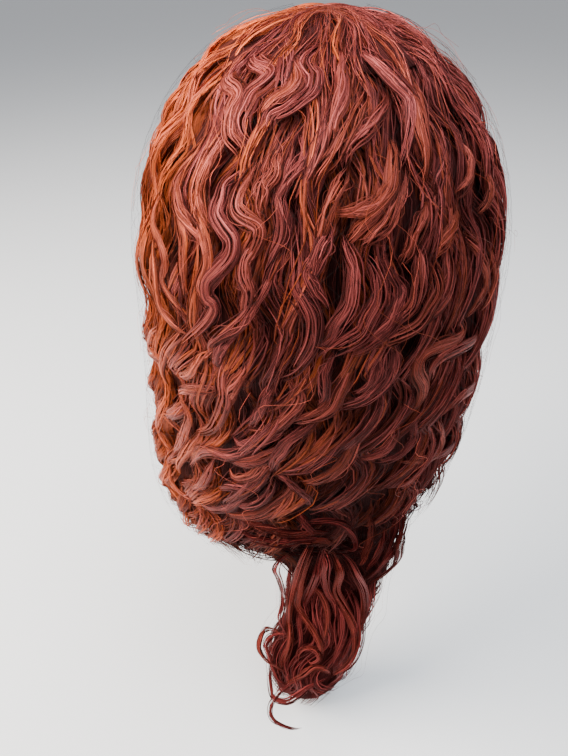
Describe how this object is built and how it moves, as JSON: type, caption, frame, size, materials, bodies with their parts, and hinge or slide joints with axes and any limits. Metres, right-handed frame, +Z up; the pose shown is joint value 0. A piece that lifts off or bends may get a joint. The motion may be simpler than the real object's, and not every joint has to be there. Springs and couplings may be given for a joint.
{
  "type": "curly wig",
  "caption": "Long wavy auburn wig on a thin cap, its hair gathered at the bottom into a curly tail that hangs free.",
  "frame": {"origin": "the inside of the cap's crown, where the wig sits on a head and where it is held up", "axes": "+Z up through the crown, -Y the way the face looks, so the back of the wig is at +Y, +X to the wearer's left"},
  "size_m": [0.2036, 0.2056, 0.5359],
  "materials": {
    "cap_lace": "dark stretch lace, matt",
    "hair_auburn": "wavy fibre, soft gloss",
    "hair_copper": "wavy fibre, soft gloss",
    "hair_shadow": "curly fibre, soft gloss"
  },
  "bodies": {
    "root": {"wig_cap": "cap_lace", "crown_hair": "hair_auburn", "right_front_hair": "hair_auburn", "right_temple_hair": "hair_auburn", "right_side_hair": "hair_auburn", "right_back_hair": "hair_auburn", "centre_back_hair": "hair_auburn", "left_back_hair": "hair_auburn", "left_side_hair": "hair_copper", "left_temple_hair": "hair_copper", "left_front_hair": "hair_copper", "gathered_hair": "hair_shadow", "tail_hair": "hair_shadow"}
  },
  "joints": []
}
